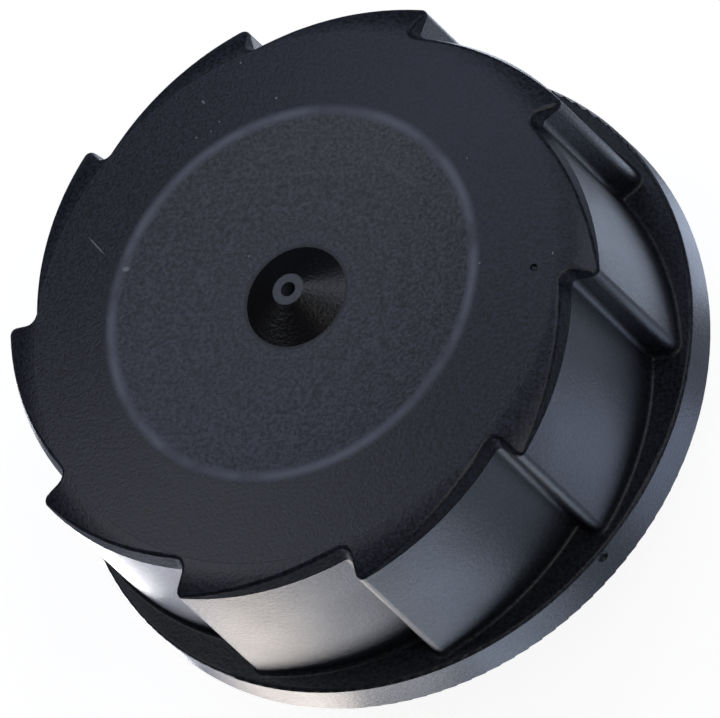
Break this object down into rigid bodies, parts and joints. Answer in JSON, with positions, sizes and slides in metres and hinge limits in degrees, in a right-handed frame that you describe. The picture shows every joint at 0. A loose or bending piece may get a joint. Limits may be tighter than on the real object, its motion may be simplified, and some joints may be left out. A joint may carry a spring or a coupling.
{
  "type": "fuel filler cap",
  "caption": "Round black moulded screw cap for a fuel filler neck, with a saw-tooth grip, a flange, a dished top with a vent hole, and a valve and slipping ratchet inside.",
  "frame": {"origin": "centre of the cap's underside, which it rests on, on the axis of its thread", "axes": "+Z along the thread's axis, out of the top of the cap; +X through one tooth of the grip"},
  "size_m": [0.0692, 0.0692, 0.0426],
  "materials": {
    "cover_nylon": "fine spark-eroded grain, black",
    "closure_acetal": "satin, black",
    "natural_acetal": "satin, undyed",
    "nitrile": "matt",
    "felt": "pressed felt",
    "brass": "pressed and turned",
    "spring_steel": "drawn wire and strip",
    "ball_steel": "ground and polished"
  },
  "bodies": {
    "closure": {"closure_body": "closure_acetal", "neck_gasket": "nitrile", "thrust_washer": "natural_acetal", "ratchet_ring": "natural_acetal", "valve_seat": "natural_acetal", "seat_ring": "nitrile", "spring_cap": "closure_acetal", "pressure_spring": "spring_steel", "splash_guard": "natural_acetal"},
    "cover": {"cover": "cover_nylon", "retaining_ring": "natural_acetal", "vent_filter": "felt", "filter_clip": "natural_acetal"},
    "pressure_valve": {"pressure_plate": "brass", "pressure_seal": "nitrile", "vacuum_spring": "spring_steel"},
    "vacuum_valve": {"vacuum_disc": "brass", "vacuum_seal": "nitrile", "stem_clip": "spring_steel"},
    "rollover_ball": {"rollover_ball": "ball_steel"}
  },
  "joints": [
    {"name": "cover_turn", "type": "hinge", "parent": "closure", "child": "cover", "pos_m": [0, 0, 0.03], "axis": [0, 0, 1], "range_deg": [-360, 0]},
    {"name": "pressure_lift", "type": "slide", "parent": "closure", "child": "pressure_valve", "axis": [0, 0, 1], "range_m": [0, 0.002], "stiffness_N_per_m": 600, "springref_m": -0.004, "deforming": ["pressure_spring"]},
    {"name": "vacuum_drop", "type": "slide", "parent": "pressure_valve", "child": "vacuum_valve", "axis": [0, 0, -1], "range_m": [0, 0.0015], "stiffness_N_per_m": 60, "springref_m": -0.003, "deforming": ["vacuum_spring"]},
    {"name": "ball_rise", "type": "slide", "parent": "closure", "child": "rollover_ball", "axis": [0, 0, 1], "range_m": [0, 0.0034]}
  ]
}
